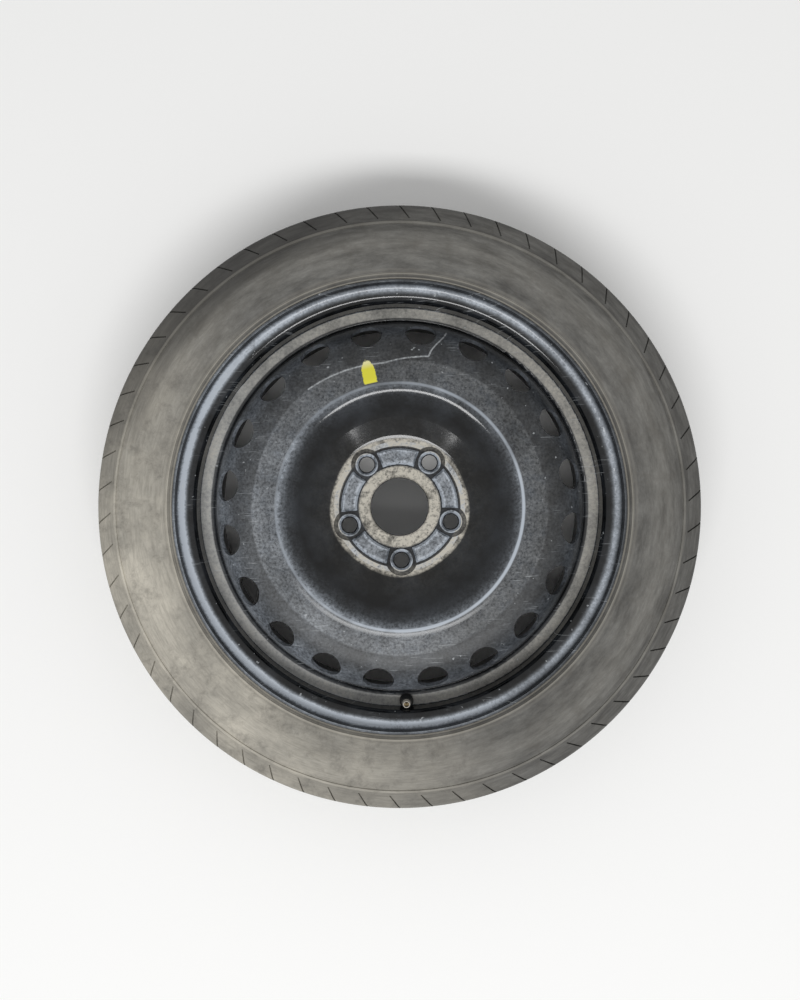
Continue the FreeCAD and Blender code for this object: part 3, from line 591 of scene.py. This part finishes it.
bmesh.ops.spin(stemMesh, geom=[ridgeFace] + list(ridgeFace.edges) + ridge, cent=stemAxis, axis=(0, 0, 1),
               dvec=(0, 0, stem["pitch"] / stem["steps"]), angle=2 * math.pi * stem["turns"], steps=turnSteps)
closeSkin(stemMesh)
threadedStem = finishPiece("threaded_stem", stemMesh, valveMaterials["valve_stem"])
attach(threadedStem, "wheel")
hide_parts("valve_stem")
print("stem done")

# Coil spring of the valve core: drawn wire wound in a helix
spring = {"radius": 0.00095, "wire": 0.00015, "wireSides": 10, "turns": 7, "steps": 24, "travel": 0.0012}
springLow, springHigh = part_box("core_spring")
springStart = springLow.z + spring["wire"]
springRise = springHigh.z - springLow.z - 2 * spring["wire"]
springMesh = bmesh.new()
springPlace = Matrix.Translation((spring["radius"], stem["y"], springStart)) @ Matrix.Rotation(math.pi / 2, 4, "X")
bmesh.ops.create_circle(springMesh, cap_ends=True, segments=spring["wireSides"], radius=spring["wire"],
                        matrix=springPlace)
springSteps = spring["turns"] * spring["steps"]
bmesh.ops.spin(springMesh, geom=springMesh.verts[:] + springMesh.edges[:] + springMesh.faces[:], cent=stemAxis,
               axis=(0, 0, 1), dvec=(0, 0, springRise / springSteps), angle=2 * math.pi * spring["turns"],
               steps=springSteps)
closeSkin(springMesh)
for face in springMesh.faces:
    face.smooth = len(face.verts) == 4
coilSpring = finishPiece("coil_spring", springMesh, valveMaterials["core_spring"])
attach(coilSpring, "wheel")
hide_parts("core_spring")
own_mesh(coilSpring)
print("spring done")

# Seam between disc and rim: the paint has run into the groove and bridges it as a thin round bead
seam = {"radius": 0.1849, "height": -0.0163, "thickness": 0.0005, "sides": 10, "steps": 240}
seamMesh = bmesh.new()
seamPlace = Matrix.Translation((seam["radius"], 0, seam["height"])) @ Matrix.Rotation(math.pi / 2, 4, "X")
bmesh.ops.create_circle(seamMesh, segments=seam["sides"], radius=seam["thickness"], matrix=seamPlace)
bmesh.ops.spin(seamMesh, geom=seamMesh.verts[:] + seamMesh.edges[:], cent=(0, 0, 0), axis=(0, 0, 1), angle=2 * math.pi,
               steps=seam["steps"], use_merge=True)
closeSkin(seamMesh)
for face in seamMesh.faces:
    face.smooth = True
seamPaint = finishPiece("seam_paint", seamMesh, rimEnamel)
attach(seamPaint, "wheel")
print("seam done")

# Stage: pale floor, one wide soft box over the valve side, even fill
stageSet = {"floor": "#fbfbfa", "floorSize": 6.0, "camHeight": 0.959, "focal": 970.0, "roll": -2.0,
            "aim": (0.0006, 0.0066), "lampPlace": (-0.20, -2.40, 4.00), "lampSize": (4.0, 0.9), "lampPower": 128.0,
            "fill": 0.5, "floorRough": 0.9, "sensor": 36.0}
floorMesh = bmesh.new()
bmesh.ops.create_grid(floorMesh, x_segments=1, y_segments=1, size=stageSet["floorSize"],
                      matrix=Matrix.Translation((0, 0, cadLow.z)))
material, tree, shader = newMaterial("pale floor")
shader.inputs["Base Color"].default_value = hexColour(stageSet["floor"])
shader.inputs["Roughness"].default_value = stageSet["floorRough"]
floor = finishPiece("floor", floorMesh, material)

world = bpy.data.worlds.new("studio")
scene.world = world
world.use_nodes = True
background = world.node_tree.nodes["Background"]
background.inputs["Color"].default_value = (1, 1, 1, 1)
background.inputs["Strength"].default_value = stageSet["fill"]

lampData = bpy.data.lights.new("soft lamp", "AREA")
lampData.shape = "RECTANGLE"
lampData.size, lampData.size_y = stageSet["lampSize"]
lampData.energy = stageSet["lampPower"]
lamp = bpy.data.objects.new("soft lamp", lampData)
lamp.location = stageSet["lampPlace"]
lamp.rotation_euler = (-Vector(stageSet["lampPlace"])).to_track_quat("-Z", "Y").to_euler()
scene.collection.objects.link(lamp)

camData = bpy.data.cameras.new("camera")
camData.sensor_width = stageSet["sensor"]
camData.lens = stageSet["focal"] / 1000 * stageSet["sensor"]    # focal is in pixels of the 1000-pixel side
camera = bpy.data.objects.new("camera", camData)
camera.location = (stageSet["aim"][0], stageSet["aim"][1], stageSet["camHeight"])
camera.rotation_euler = (0, 0, math.radians(stageSet["roll"]))
scene.collection.objects.link(camera)
scene.camera = camera
scene.view_settings.view_transform = "Standard"
print("stage done")
